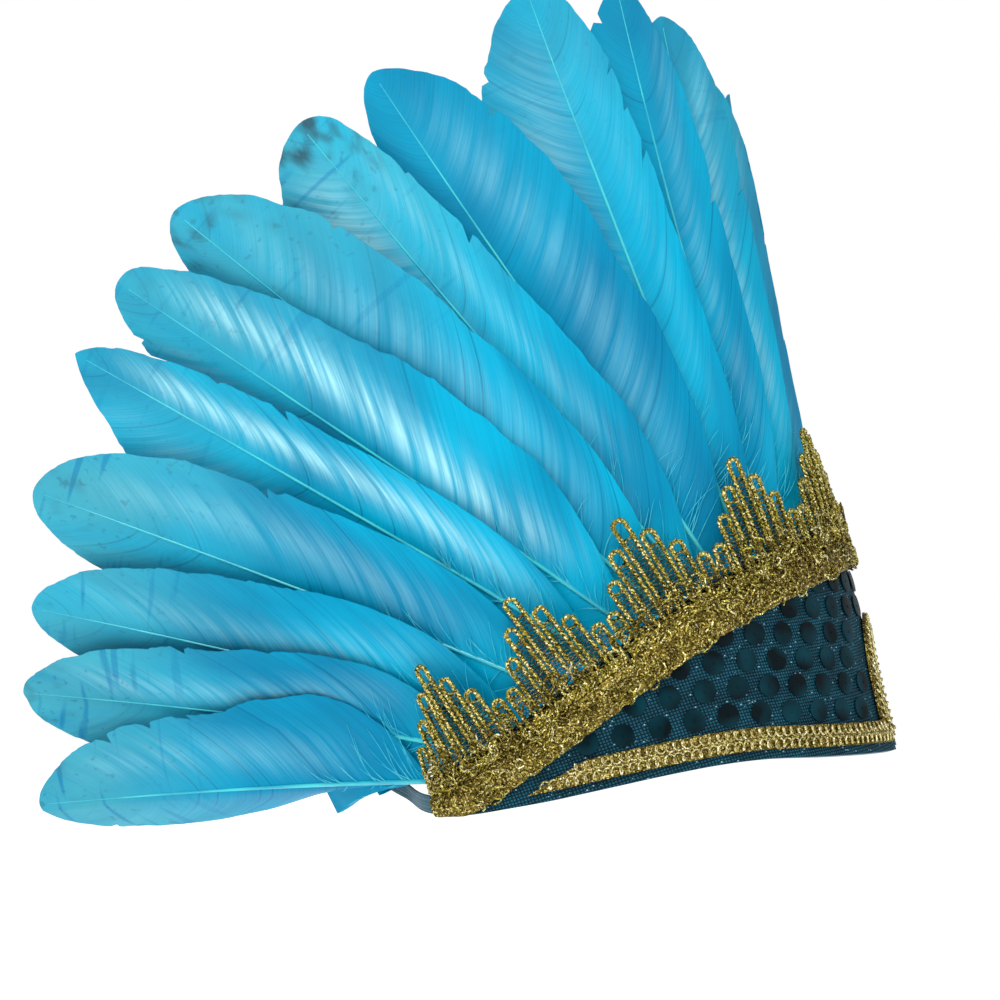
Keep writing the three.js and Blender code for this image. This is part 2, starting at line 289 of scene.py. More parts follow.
def on_whole_mesh(obj, operator, **options):
    only(obj)
    bpy.ops.object.mode_set(mode="EDIT")
    bpy.ops.mesh.select_all(action="SELECT")
    operator(**options)
    bpy.ops.object.mode_set(mode="OBJECT")


def apply_modifiers(obj):
    only(obj)
    for modifier in list(obj.modifiers):
        bpy.ops.object.modifier_apply(modifier=modifier.name)


def thicken(sheet, thickness):
    """Gives a sheet its thickness, half on each side, with its faces outwards."""
    wall = sheet.modifiers.new("wall", "SOLIDIFY")
    wall.thickness = thickness * MM
    wall.offset = 0
    apply_modifiers(sheet)
    on_whole_mesh(sheet, bpy.ops.mesh.normals_make_consistent, inside=False)


def grid(name, columns, rows, place, coordinates, *materials):
    """A cloth-like sheet: a grid primitive whose points are laid by place(u, v), with its UV map
    from coordinates(u, v). u and v run from 0 to 1."""
    bpy.ops.object.select_all(action="DESELECT")
    bpy.ops.mesh.primitive_grid_add(x_subdivisions=columns, y_subdivisions=rows, size=1)
    sheet = bpy.context.object
    sheet.name = name
    shares = [(v.co.x + 0.5, v.co.y + 0.5) for v in sheet.data.vertices]
    uv = sheet.data.uv_layers.active.data
    for loop in sheet.data.loops:
        uv[loop.index].uv = coordinates(*shares[loop.vertex_index])
    for vertex, (u, v) in zip(sheet.data.vertices, shares):
        vertex.co = place(u, v) * MM
    for material in materials:
        sheet.data.materials.append(material)
    return sheet


def tube(name, lines, radius, sides, material):
    """Round cord along lines of (point, thickness share), one spline each, made into a mesh."""
    data = bpy.data.curves.new(name, "CURVE")
    data.dimensions = "3D"
    data.bevel_depth = radius * MM
    data.bevel_resolution = max(0, sides // 2 - 2)
    data.use_fill_caps = True
    for line in lines:
        spline = data.splines.new("POLY")
        spline.points.add(len(line) - 1)
        for target, (point, share) in zip(spline.points, line):
            target.co = (*(point * MM), 1)
            target.radius = share
    curve = bpy.data.objects.new(name, data)
    bpy.context.collection.objects.link(curve)
    only(curve)
    bpy.ops.object.convert(target="MESH")
    cord = bpy.context.object
    cord.data.materials.append(material)
    return cord


def join(name, *parts):
    only(*parts)
    if len(parts) > 1:
        bpy.ops.object.join()
    parts[0].name = name
    parts[0].data.name = name
    return parts[0]


def finish(piece, crease, slot, *nodes):
    """Smooths a piece, except at edges sharper than the crease angle, and puts it on the body in
    the place of its solids."""
    only(piece)
    bpy.ops.object.shade_smooth_by_angle(angle=math.radians(crease))
    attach(piece, "root")
    if nodes:
        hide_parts(*nodes)
    return piece


# ---------------------------------------------------------------- materials

MIX = {"data_type": "RGBA"}
DARKEN = {"data_type": "RGBA", "blend_type": "MULTIPLY"}
TIMES = {"operation": "MULTIPLY"}


def srgb(code):
    def linear(part):
        c = int(part, 16) / 255
        return c / 12.92 if c <= 0.04045 else ((c + 0.055) / 1.055) ** 2.4

    return (linear(code[1:3]), linear(code[3:5]), linear(code[5:7]), 1)


def grey(level):
    return (level, level, level, 1)


def add(tree, kind, settings=None, stops=(), **inputs):
    """Adds a node, sets its properties and the stops of a ramp, and fills or links its sockets by
    name, or by number where it says at0, at1 and so on."""
    node = tree.nodes.new(kind)
    for key, value in (settings or {}).items():
        setattr(node, key, value)
    if stops:
        elements = node.color_ramp.elements
        while len(elements) < len(stops):
            elements.new(0.5)
        for element, (position, color) in zip(elements, stops):
            element.position = position
            element.color = color
    for key, value in inputs.items():
        index = int(key[2:]) if key.startswith("at") and key[2:].isdigit() else key.replace("_", " ")
        if isinstance(value, bpy.types.NodeSocket):
            tree.links.new(value, node.inputs[index])
        else:
            node.inputs[index].default_value = value
    return node


def start_material(name, **shader):
    material = bpy.data.materials.new(name)
    material.use_nodes = True
    tree = material.node_tree
    surface = next(n for n in tree.nodes if n.type == "BSDF_PRINCIPLED")
    for key, value in shader.items():
        surface.inputs[key.replace("_", " ")].default_value = value
    return material, tree, surface


def mottle(tree, surface, scale, detail, *stops):
    """Clouds the base colour between shades, and gives back the clouds."""
    place = add(tree, "ShaderNodeTexCoord").outputs["Object"]
    clouds = add(tree, "ShaderNodeTexNoise", Vector=place, Scale=scale, Detail=detail).outputs[0]
    shades = add(tree, "ShaderNodeValToRGB", stops=stops, at0=clouds).outputs[0]
    tree.links.new(shades, surface.inputs["Base Color"])
    return clouds


def dyed_goose_feather():
    # Dyed goose satinette: keratin barbs zipped into a vane, so it has a silky look, its gleam
    # painted into the colour as pale long streaks, barbs that hardly show, a paler and greyer look
    # where it is thin, and stained bars.
    material, tree, surface = start_material(
        "dyed_goose_vane", Roughness=0.45, IOR=1.54, Specular_IOR_Level=0.05)
    # UV x is the place of the barb's root along the quill, and y the distance out along the barb,
    # both in decimetres. Stains and flecks lie square to the quill, so they read "flat" instead,
    # the point's place along and across the feather.
    uv = add(tree, "ShaderNodeUVMap", {"uv_map": "UVMap"}).outputs[0]
    flat = add(tree, "ShaderNodeAttribute", {"attribute_name": "flat"}).outputs["Vector"]
    own = {key: add(tree, "ShaderNodeAttribute", {"attribute_name": key}).outputs["Fac"]
           for key in ("painted_satin", "thin", "deep", "worn")}

    # Space, repeats in a decimetre, shift, detail and roughness of each pattern. Real barbs are
    # 0.4 mm apart; they are drawn 0.7 mm apart so that they show.
    patterns = {
        "barbs": (uv, (140, 2.5, 1), 0, 2, 0.65),
        "dye": (uv, (2.2, 3, 1), 0, 2, 0.5),
        "partings": (uv, (48, 0.9, 1), 5, 0, 0.5),
        "patches": (uv, (3, 7, 1), 3, 3, 0.5),
        "painted_gleam": (uv, (30, 2.4, 1), 7, 3, 0.55),
        "stains": (flat, (30, 2.5, 1), 0, 1, 0.5),
        "flecks": (flat, (42, 42, 42), 0, 2, 0.5),
    }
    drawn = {}
    for key, (space, repeats, shift, detail, roughness) in patterns.items():
        spread = add(tree, "ShaderNodeMapping", Vector=space, Scale=repeats,
                     Location=(shift, 0, 0)).outputs[0]
        drawn[key] = add(tree, "ShaderNodeTexNoise", Vector=spread, Scale=1.0, Detail=detail,
                         Roughness=roughness).outputs[0]

    dyed = add(tree, "ShaderNodeValToRGB", at0=drawn["dye"],
               stops=[(0.34, srgb("#007EA4")), (0.6, srgb("#00A2C6"))]).outputs[0]
    toned = add(tree, "ShaderNodeMix", MIX, at0=own["deep"], at6=dyed,
                at7=srgb("#006A94")).outputs[2]
    grooves = add(tree, "ShaderNodeValToRGB", at0=drawn["barbs"],
                  stops=[(0.36, srgb("#5E9AA8")), (0.56, grey(1))]).outputs[0]
    color = add(tree, "ShaderNodeMix", DARKEN, at0=0.2, at6=toned, at7=grooves).outputs[2]
    # The painted gleam's place is the piece's own, and the barbs break it up.
    ridges = add(tree, "ShaderNodeValToRGB", at0=drawn["barbs"],
                 stops=[(0.3, grey(0.7)), (0.6, grey(1))]).outputs[0]
    own["painted_satin"] = add(tree, "ShaderNodeMath", TIMES, at0=ridges, at1=own["painted_satin"]).outputs[0]

    # What lies over the dye, from the bottom up: partings where the barbs have come unzipped and a
    # shadow shows, thin patches, the painted gleam (a pale highlight), stained bars and flecks. Each
    # comes in over a range of its pattern, from its least amount to its most, times the piece's own.
    layers = [
        ("partings", (0.68, 0.73), (0, 0.5), None, "#00587C"),
        ("patches", (0.3, 0.6), (0.5, 1), "thin", "#48A2B0"),
        # The gleam is a painted highlight: a pale colour laid where the satin would catch the light.
        ("painted_gleam", (0.36, 0.6), (0.15, 1), "painted_satin", "#A6DFE8"),
        ("stains", (0.62, 0.7), (0, 0.7), "thin", "#00669A"),
        ("flecks", (0.64, 0.7), (0, 0.5), "thin", "#2F5866"),
    ]
    for key, reach, amounts, owned, hue in layers:
        amount = add(tree, "ShaderNodeValToRGB", at0=drawn[key],
                     stops=[(at, grey(level)) for at, level in zip(reach, amounts)]).outputs[0]
        if owned:
            amount = add(tree, "ShaderNodeMath", TIMES, at0=amount, at1=own[owned]).outputs[0]
        color = add(tree, "ShaderNodeMix", MIX, at0=amount, at6=color, at7=srgb(hue)).outputs[2]
    worn = add(tree, "ShaderNodeMix", MIX, at0=own["worn"], at6=color, at7=srgb("#2F5866"))
    tree.links.new(worn.outputs[2], surface.inputs["Base Color"])
    relief = add(tree, "ShaderNodeBump", Strength=0.18, Distance=0.0003,
                 Height=drawn["barbs"]).outputs[0]
    tree.links.new(relief, surface.inputs["Normal"])
    return material


def dyed_quill():
    # A goose quill dyed with the vane: hollow keratin, smooth and slightly clear, paler than the vane.
    material, tree, surface = start_material(
        "dyed_quill", Roughness=0.3, IOR=1.54, Coat_Weight=0.2, Subsurface_Weight=0.1)
    surface.inputs["Subsurface Radius"].default_value = (0.001, 0.001, 0.001)
    mottle(tree, surface, 60, 2, (0.35, srgb("#12A0B6")), (0.65, srgb("#35C2C8")))
    return material


def goose_down():
    # Downy barbs at the foot of a feather: fine, matte, and paler than the vane.
    material, tree, surface = start_material(
        "dyed_goose_down", Roughness=0.7, IOR=1.54, Specular_IOR_Level=0.1)
    mottle(tree, surface, 220, 1, (0.35, srgb("#18A2C2")), (0.65, srgb("#4CBCD0")))
    return material


def gold_metallic_thread(name, dark, mid, bright, glint):
    # Metallised film wound round a cotton core: most of it in its own shade, and a few small facets
    # given a painted glint, a pale spark of light in the colour itself.
    material, tree, surface = start_material(name, Metallic=0.8, Specular_IOR_Level=0.5)
    place = add(tree, "ShaderNodeTexCoord").outputs["Object"]
    # One wrap of the film is about 0.4 mm, so a cell is 0.4 mm wide.
    facets = add(tree, "ShaderNodeTexVoronoi", Vector=place, Scale=2500)
    level = add(tree, "ShaderNodeSeparateColor", at0=facets.outputs["Color"]).outputs[0]
    # The last stop, on the few brightest facets, is a painted glint.
    shades = add(tree, "ShaderNodeValToRGB", at0=level,
                 stops=[(0.05, srgb(dark)), (0.45, srgb(mid)), (0.8, srgb(bright)),
                        (0.97, srgb(glint))]).outputs[0]
    tree.links.new(shades, surface.inputs["Base Color"])
    rough = add(tree, "ShaderNodeMapRange", Value=level, To_Min=0.28, To_Max=0.55).outputs[0]
    tree.links.new(rough, surface.inputs["Roughness"])
    relief = add(tree, "ShaderNodeBump", Strength=0.35, Distance=0.0002,
                 Height=facets.outputs["Distance"]).outputs[0]
    tree.links.new(relief, surface.inputs["Normal"])
    return material


def glitter_mesh():
    # Polyester mesh with glued glitter over a dyed lining: a dark teal ground, a fine square
    # weave, and bright specks of film.
    material, tree, surface = start_material(
        "glitter_mesh_cloth", Roughness=0.6, Specular_IOR_Level=0.08)
    uv = add(tree, "ShaderNodeUVMap", {"uv_map": "UVMap"}).outputs[0]
    # UV is in decimetres. The mesh has a thread every 0.95 mm, a little off level.
    threads = add(tree, "ShaderNodeMapping", Vector=uv, Rotation=(0, 0, math.radians(6)),
                  Scale=(105, 105, 105)).outputs[0]
    weave = add(tree, "ShaderNodeTexVoronoi", {"distance": "CHEBYCHEV"}, Vector=threads, Scale=1.0,
                Randomness=0.15).outputs["Distance"]
    ground = add(tree, "ShaderNodeValToRGB", at0=weave,
                 stops=[(0.1, srgb("#246476")), (0.38, srgb("#03222E"))]).outputs[0]
    clouds = add(tree, "ShaderNodeTexNoise", Vector=uv, Scale=12, Detail=3).outputs[0]
    shade = add(tree, "ShaderNodeValToRGB", at0=clouds,
                stops=[(0.35, srgb("#9AA6AA")), (0.65, grey(1))]).outputs[0]
    toned = add(tree, "ShaderNodeMix", DARKEN, at0=0.7, at6=ground, at7=shade).outputs[2]
    specks = add(tree, "ShaderNodeTexVoronoi", Vector=threads, Scale=1.0, Randomness=0.6)
    chance = add(tree, "ShaderNodeSeparateColor", at0=specks.outputs["Color"]).outputs[0]
    picked = add(tree, "ShaderNodeMath", {"operation": "GREATER_THAN"}, at0=chance, at1=0.84)
    near = add(tree, "ShaderNodeMath", {"operation": "LESS_THAN"}, at0=specks.outputs["Distance"],
               at1=0.24)
    glint = add(tree, "ShaderNodeMath", TIMES, at0=picked.outputs[0], at1=near.outputs[0]).outputs[0]
    glinting = add(tree, "ShaderNodeMix", MIX, at0=glint, at6=toned, at7=srgb("#8FB8C2")).outputs[2]
    tree.links.new(glinting, surface.inputs["Base Color"])
    metal = add(tree, "ShaderNodeMath", TIMES, at0=glint, at1=0.9).outputs[0]
    tree.links.new(metal, surface.inputs["Metallic"])
    relief = add(tree, "ShaderNodeBump", {"invert": True}, Strength=0.5, Distance=0.0003,
                 Height=weave).outputs[0]
    tree.links.new(relief, surface.inputs["Normal"])
    return material


def sequin_film():
    # Polyester sequins with a metallised teal face, nearly black except where they shine.
    material, tree, surface = start_material(
        "teal_sequin_film", Metallic=0.0, Specular_IOR_Level=0.07)
    tint = mottle(tree, surface, 90, 1, (0.4, srgb("#000D12")), (0.7, srgb("#02323D")))
    rough = add(tree, "ShaderNodeMapRange", Value=tint, To_Min=0.22, To_Max=0.4).outputs[0]
    tree.links.new(rough, surface.inputs["Roughness"])
    return material


def woven_cloth(name, dark, light, pitch):
    # Plain woven tape: threads over and under, matte, with darker gaps.
    material, tree, surface = start_material(name, Roughness=0.85, Sheen_Weight=0.2)
    uv = add(tree, "ShaderNodeUVMap", {"uv_map": "UVMap"}).outputs[0]
    threads = add(tree, "ShaderNodeTexVoronoi", {"distance": "CHEBYCHEV"}, Vector=uv,
                  Scale=100 / pitch, Randomness=0.1).outputs["Distance"]
    shades = add(tree, "ShaderNodeValToRGB", at0=threads,
                 stops=[(0.15, srgb(light)), (0.5, srgb(dark))]).outputs[0]
    tree.links.new(shades, surface.inputs["Base Color"])
    relief = add(tree, "ShaderNodeBump", {"invert": True}, Strength=0.6, Distance=0.0002,
                 Height=threads).outputs[0]
    tree.links.new(relief, surface.inputs["Normal"])
    return material


def studio_floor():
    # Matte white paint on board, lit a little from within so that it is as white as the backdrop.
    material, tree, surface = start_material(
        "matte_white_floor", Roughness=0.9, Emission_Strength=0.58)
    surface.inputs["Emission Color"].default_value = srgb("#FFFFFF")
    mottle(tree, surface, 3, 2, (0.3, srgb("#F2F2F2")), (0.7, srgb("#F6F6F6")))
    return material


feather_blue = dyed_goose_feather()
quill_dye = dyed_quill()
feather_down = goose_down()
# The last colour given to each gold is its painted glint.
lace_gold = gold_metallic_thread("gold_film_cord", "#3A3208", "#80731F", "#BFAE48", "#FFF8C4")
# The darker gold is painted shade where gold lies under or between other gold: the braid's tape and
# middle cord, the tinsel's core and darker curls, and the lace's lower threads.
dark_gold = gold_metallic_thread("gold_film_for_painted_shade", "#221A04", "#57480F", "#86742A", "#D8C878")
pale_gold = gold_metallic_thread("pale_gold_gimp", "#6A5C22", "#B0A25A", "#DCD39A", "#FFFBE0")
mesh_cloth = glitter_mesh()
sequin_face = sequin_film()
lining_cloth = woven_cloth("dyed_buckram_lining", "#0B2F3C", "#1B5568", 0.9)
elastic_weave = woven_cloth("woven_elastic", "#123844", "#2A6474", 1.0)

# ---------------------------------------------------------------- the panel

PANEL_ROWS = 16
ARCH_STEPS = 20
SIDE_STEPS = 55
MEAN_RADIUS = 86
CLOTH_SINK = 0.2
CLOTH_DIMPLE = 0.25
CLOTH_HELD = 0.08
CLOTH_CLEARANCE = 0.3
RIM_ROUNDING = 0.5


def mirrored(right):
    """A line of (angle, height) out to the wearer's right, led on from the left end."""
    return [(-angle, height) for angle, height in reversed(right)] + right[1:]


def panel_columns():
    """(angle, lowest height) along the panel, closest together over the arch."""
    arch = arch_edge(0, ARCH_STEPS)
    foot = arch[-1][0]
    side = [(foot + (PANEL_END - foot) * i / SIDE_STEPS, 0) for i in range(SIDE_STEPS + 1)]
    return mirrored(arch[:-1] + side)


def make_panel():
    columns = panel_columns()

    def height_at(u, v):
        angle, low = columns[round(u * (len(columns) - 1))]
        return angle, low + (panel_height(angle) - low) * v

    def place(u, v):
        angle, height = height_at(u, v)
        # The cloth is drawn over a stiff core and held at its edges, and dimples in between.
        dimple = CLOTH_DIMPLE * noise.noise(Vector((angle / 9, height / 14, 0)))
        free = min(v, 1 - v, CLOTH_HELD) / CLOTH_HELD
        return panel_point(angle, height, (dimple - CLOTH_SINK) * free)

    def coordinates(u, v):
        angle, height = height_at(u, v)
        return math.radians(angle) * MEAN_RADIUS / 100, height / 100

    shell = grid("panel_cloth", len(columns) - 1, PANEL_ROWS, place, coordinates,
                 mesh_cloth, lining_cloth)
    if shell.data.polygons[0].normal.dot(shell.data.polygons[0].center) < 0:
        on_whole_mesh(shell, bpy.ops.mesh.flip_normals)
    wall = shell.modifiers.new("wall", "SOLIDIFY")
    wall.thickness = (PANEL_THICKNESS - CLOTH_CLEARANCE) * MM
    wall.offset = -1
    wall.material_offset = 1
    wall.material_offset_rim = 1
    rounding = shell.modifiers.new("rounding", "BEVEL")
    rounding.width = RIM_ROUNDING * MM
    rounding.segments = 2
    rounding.limit_method = "ANGLE"
    rounding.angle_limit = math.radians(60)
    apply_modifiers(shell)
    return finish(shell, 45, "sequin_cloth", "front_panel")


make_panel()


# ---------------------------------------------------------------- sequins

SEQUIN_RADIUS = 3.5
SEQUIN_RIM = 0.5
SEQUIN_FACE = 2.4
SEQUIN_PINHOLE = 0.2
SEQUIN_FILM = 0.2
SEQUIN_TILT = 0.03
SEQUIN_LIFT = 0.45
SEQUIN_ROWS = 8
SEQUIN_ROW_RISE = 8.2
SEQUIN_SPACING = 10.8
ABOVE_BRAID = 4.6
BESIDE_ARCH = 4.5
UNDER_TINSEL = 2.5
ANGLE_STEP = 0.25


def inside_arch(angle, height, room):
    half_width = ARCH_HALF_WIDTH + room
    x = HALF_WIDTH * math.sin(math.radians(abs(angle)))
    if x >= half_width or abs(angle) > 90:
        return False
    return height < (ARCH_HEIGHT + room) * (1 - (x / half_width) ** ARCH_POWER) ** (1 / ARCH_POWER)


def sequin_places():
    """Staggered rows, level with the head opening, clear of the braid, with the topmost ones half
    under the tinsel."""
    places = []
    for row in range(SEQUIN_ROWS):
        height = BRAID_MARGIN + BRAID_WIDTH + ABOVE_BRAID + row * SEQUIN_ROW_RISE
        wanted = SEQUIN_SPACING / 2 * (row % 2)
        angle = 0.0
        length = 0.0
        while angle < PANEL_END:
            t = math.radians(angle)
            radius = math.hypot(HALF_WIDTH * math.cos(t), HALF_DEPTH * math.sin(t))
            if length >= wanted:
                wanted += SEQUIN_SPACING
                lowest_curl = edge_slant(angle) * (TINSEL_FROM + UNDER_TINSEL)
                clear = height < panel_height(angle) - SET_BACK + lowest_curl
                room = BRAID_MARGIN + BRAID_WIDTH + BESIDE_ARCH
                if clear and not inside_arch(angle, height, room):
                    places += [(angle, height)] if angle < 1 else [(angle, height), (-angle, height)]
            angle += ANGLE_STEP
            length += math.radians(ANGLE_STEP) * radius
    return places


def make_sequins():
    """One flat round sequin with a turned rim and a pinhole dimple, copied to every place."""
    chance = random.Random(11)
    bpy.ops.object.select_all(action="DESELECT")
    bpy.ops.mesh.primitive_circle_add(vertices=20, radius=SEQUIN_RADIUS * MM, fill_type="NGON")
    master = bpy.context.object
    bpy.ops.object.mode_set(mode="EDIT")
    bpy.ops.mesh.select_all(action="SELECT")
    bpy.ops.mesh.inset(thickness=SEQUIN_RIM * MM)
    bpy.ops.transform.translate(value=(0, 0, 0.08 * MM))
    bpy.ops.mesh.inset(thickness=SEQUIN_FACE * MM)
    bpy.ops.mesh.inset(thickness=SEQUIN_PINHOLE * MM)
    bpy.ops.transform.translate(value=(0, 0, -SEQUIN_PINHOLE * MM))
    bpy.ops.object.mode_set(mode="OBJECT")
    wall = master.modifiers.new("film", "SOLIDIFY")
    wall.thickness = SEQUIN_FILM * MM
    wall.offset = -1
    apply_modifiers(master)
    master.data.materials.append(sequin_face)
    copies = []
    for angle, height in sequin_places():
        copy = master.copy()
        copy.data = master.data.copy()
        bpy.context.collection.objects.link(copy)
        normal, _ = wall_frame(angle)
        tilt = Vector((chance.uniform(-SEQUIN_TILT, SEQUIN_TILT),
                       chance.uniform(-SEQUIN_TILT, SEQUIN_TILT), 1))
        copy.rotation_mode = "QUATERNION"
        copy.rotation_quaternion = (normal.to_track_quat("Z", "Y")
                                    @ tilt.to_track_quat("Z", "Y"))
        copy.location = panel_point(angle, height, SEQUIN_LIFT) * MM
        copies.append(copy)
    only(*copies)
    bpy.ops.object.transform_apply(location=True, rotation=True, scale=True)
    bpy.data.objects.remove(master)
    return finish(join("sequins", *copies), 35, "sequin_cloth")


make_sequins()


# ---------------------------------------------------------------- gold braid

BRAID_ARCH_STEPS = 24
BRAID_SIDE_STEPS = 60
TAPE_ROWS = 6
TAPE_THICKNESS = 0.8
GIMP_RADIUS = 0.36
GIMP_LIFT = 1.3
GIMP_STEP = 0.3
GIMP_LOOP = 2.7
GIMP_ACROSS = 1.35
GIMP_ALONG = 0.95
PLAIT_RADIUS = 0.45


def braid_line(share):
    """(angle, height) along the braid, at a share of its width."""
    margin = BRAID_MARGIN + BRAID_WIDTH * share
    arch = arch_edge(margin, BRAID_ARCH_STEPS)
    end = BRAID_END - BRAID_MITRE * (margin - BRAID_MARGIN)
    foot = arch[-1][0]
    steps = range(1, BRAID_SIDE_STEPS + 1)
    return mirrored(arch + [(foot + (end - foot) * i / BRAID_SIDE_STEPS, margin) for i in steps])


def walk(points, spacing):
    """Evenly spaced (point, direction) along a line of points."""
    lengths = [0.0]
    for a, b in zip(points, points[1:]):
        lengths.append(lengths[-1] + (b - a).length)
    count = max(2, round(lengths[-1] / spacing))
    out = []
    i = 0
    for k in range(count + 1):
        wanted = lengths[-1] * k / count
        while i < len(points) - 2 and lengths[i + 1] < wanted:
            i += 1
        share = (wanted - lengths[i]) / max(1e-9, lengths[i + 1] - lengths[i])
        out.append((points[i].lerp(points[i + 1], share), (points[i + 1] - points[i]).normalized()))
    return out


def gimp_loops(share, hand):
    """A row of round loops of gimp along the braid, at a share of its width."""
    row = braid_line(share)
    normals = [wall_frame(angle)[0] for angle, _ in row]
    steps = walk([panel_point(angle, height, 0) for angle, height in row], GIMP_STEP)
    line = []
    for k, (point, direction) in enumerate(steps):
        normal = normals[min(len(normals) - 1, round(k / len(steps) * (len(normals) - 1)))]
        sideways = normal.cross(direction).normalized()
        turn = math.tau * k * GIMP_STEP / GIMP_LOOP
        line.append((point + sideways * (GIMP_ACROSS * math.cos(turn) * hand)
                     + direction * (GIMP_ALONG * math.sin(turn))
                     + normal * (TRIM_GAP + GIMP_LIFT + 0.25 * math.sin(turn)), 1))
    return line


def make_braid():
    """A flat tape, with a row of gold loops along each side and a plaited cord down the middle."""
    lines = [braid_line(i / TAPE_ROWS) for i in range(TAPE_ROWS + 1)]

    def place(u, v):
        angle, height = lines[round(v * TAPE_ROWS)][round(u * (len(lines[0]) - 1))]
        return panel_point(angle, height, TRIM_GAP + 0.5)

    tape = grid("edge_braid_tape", len(lines[0]) - 1, TAPE_ROWS, place,
                lambda u, v: (u * 3.4, v * BRAID_WIDTH / 100), dark_gold)
    thicken(tape, TAPE_THICKNESS)
    middle = [panel_point(angle, height, TRIM_GAP + 1.2) for angle, height in braid_line(0.5)]
    plait = [(point, 1) for point, _ in walk(middle, 2.0)]
    braid = join("edge_braid_gold", tape,
                 tube("loops_outer", [gimp_loops(0.27, -1)], GIMP_RADIUS, 6, pale_gold),
                 tube("loops_inner", [gimp_loops(0.73, 1)], GIMP_RADIUS, 6, pale_gold),
                 tube("cord_middle", [plait], PLAIT_RADIUS, 6, dark_gold))
    return finish(braid, 60, "gold_thread", "edge_braid")


make_braid()


# ---------------------------------------------------------------- tinsel heading

CORE_THICKNESS = 1.0
CORE_CROWN = 1.2
CORE_RAGGED = 0.7
CURLS = 1150
CURL_STEPS = 7
CURL_TOP = 6.5
CURL_RADIUS = 0.42
CURL_LIFT = 1.8
STRAIGHT_SHARE = 0.35
DARK_SHARE = 0.42
BRIGHT_UP_TO = 0.9


def make_tinsel():
    """A padded strip under a tangle of short curls and straight ends of gold film, which reaches
    over the foot of the lace."""
    chance = random.Random(5)
    end = HALF_EDGE - 0.6

    def place(u, v):
        length = -end + 2 * end * u
        low = max(TINSEL_FROM + 0.9, edge_floor(length) + 0.3)
        ragged = CORE_RAGGED * noise.noise(Vector((length / 2.5, 0, 3))) * (1 - v)
        up = low + ragged + (TINSEL_TO - 0.1 - low) * v
        crown = CORE_CROWN * 4 * v * (1 - v)
        return edge_point(length, up, TRIM_GAP + 0.9 + crown)

    core = grid("tinsel_core", 240, 6, place, lambda u, v: (u * 4, v * 0.1), dark_gold)
    thicken(core, CORE_THICKNESS)
    curls = {"bright": [], "dark": [], "pale": []}
    for k in range(CURLS):
        centre = -end + 2 + (2 * end - 4) * (k + chance.random()) / CURLS
        low = max(TINSEL_FROM, edge_floor(centre))
        up = low + (CURL_TOP - low) * chance.uniform(0.05, 1)
        rise = max(0, 1 - ((up - low) / (TINSEL_TO - low) * 2 - 1) ** 2)
        over_lace = 0.7 * ease(TINSEL_TO - 1.5, TINSEL_TO + 1, up)
        size = chance.uniform(1.3, 3.6)
        turn = chance.uniform(0, math.tau)
        straight = chance.random() < STRAIGHT_SHARE
        hand = chance.choice((-1, 1))
        wind = hand * (chance.uniform(0.6, 1.6) if straight else chance.uniform(3, 6))
        line = []
        for i in range(CURL_STEPS + 1):
            s = i / CURL_STEPS
            if straight:
                spin = turn + 0.5 * wind * s
                reach = size * (2 * s - 1)
            else:
                spin = turn + wind * s
                reach = size * (0.55 + 0.45 * s)
            length = min(end, max(-end, centre + reach * math.cos(spin)))
            side = max(low - 0.8, up + reach * 0.85 * math.sin(spin))
            lift = TRIM_GAP + CURL_LIFT + 1.1 * rise + over_lace + 0.8 * math.sin(spin * 1.7 + turn)
            line.append((edge_point(length, side, lift), 1 - 0.35 * abs(2 * s - 1)))
        # The darker curls are painted shade in the holes of the tangle.
        draw = chance.random()
        shade = "dark" if draw < DARK_SHARE else "pale" if draw > BRIGHT_UP_TO else "bright"
        curls[shade].append(line)
    tangle = [tube(f"curls_{shade}", curls[shade], CURL_RADIUS, 4, gold)
              for shade, gold in (("bright", lace_gold), ("dark", dark_gold), ("pale", pale_gold))]
    return finish(join("tinsel_curls", core, *tangle), 60, "gold_thread", "tinsel_heading")


make_tinsel()


# ---------------------------------------------------------------- lace

CORD_RADIUS = 0.85
CORD_LIFT = 0.95
PLY_RADIUS = 0.5
PLY_SPREAD = 0.42
PLY_PITCH = 3.2
PLY_STEP = 0.75
LEG_STEPS = 8
THREAD_RADIUS = 0.56
THREAD_RISE = 1.25
FOOT_CORDS = (-2.7, -1.7, -0.6)
FOOT_STEPS = 24
LACE_END = 0.6


def twist(points, normals, phase):
    """One strand of a two-ply cord: a helix round a line of points."""
    line = []
    length = 0.0
    for k, point in enumerate(points):
        ahead = points[min(k + 1, len(points) - 1)] - points[max(k - 1, 0)]
        if k:
            length += (point - points[k - 1]).length
        side = ahead.normalized().cross(normals[k]).normalized()
        turn = math.tau * length / PLY_PITCH + phase
        line.append((point + side * (PLY_SPREAD * math.cos(turn))
                     + normals[k] * (PLY_SPREAD * math.sin(turn)), 1))
    return line


def two_ply(flat):
    """Both strands of a cord that follows (place along the edge, up, off the wall)."""
    points = [edge_point(x, y, TRIM_GAP + CORD_LIFT + z) for x, y, z in flat]
    normals = [wall_frame(edge_angle(x))[0] for x, _, _ in flat]
    spaced = [point for point, _ in walk(points, PLY_STEP)]
    last = len(normals) - 1
    nearest = [normals[min(last, round(k / (len(spaced) - 1) * last))] for k in range(len(spaced))]
    return [twist(spaced, nearest, phase) for phase in (0, math.pi)]


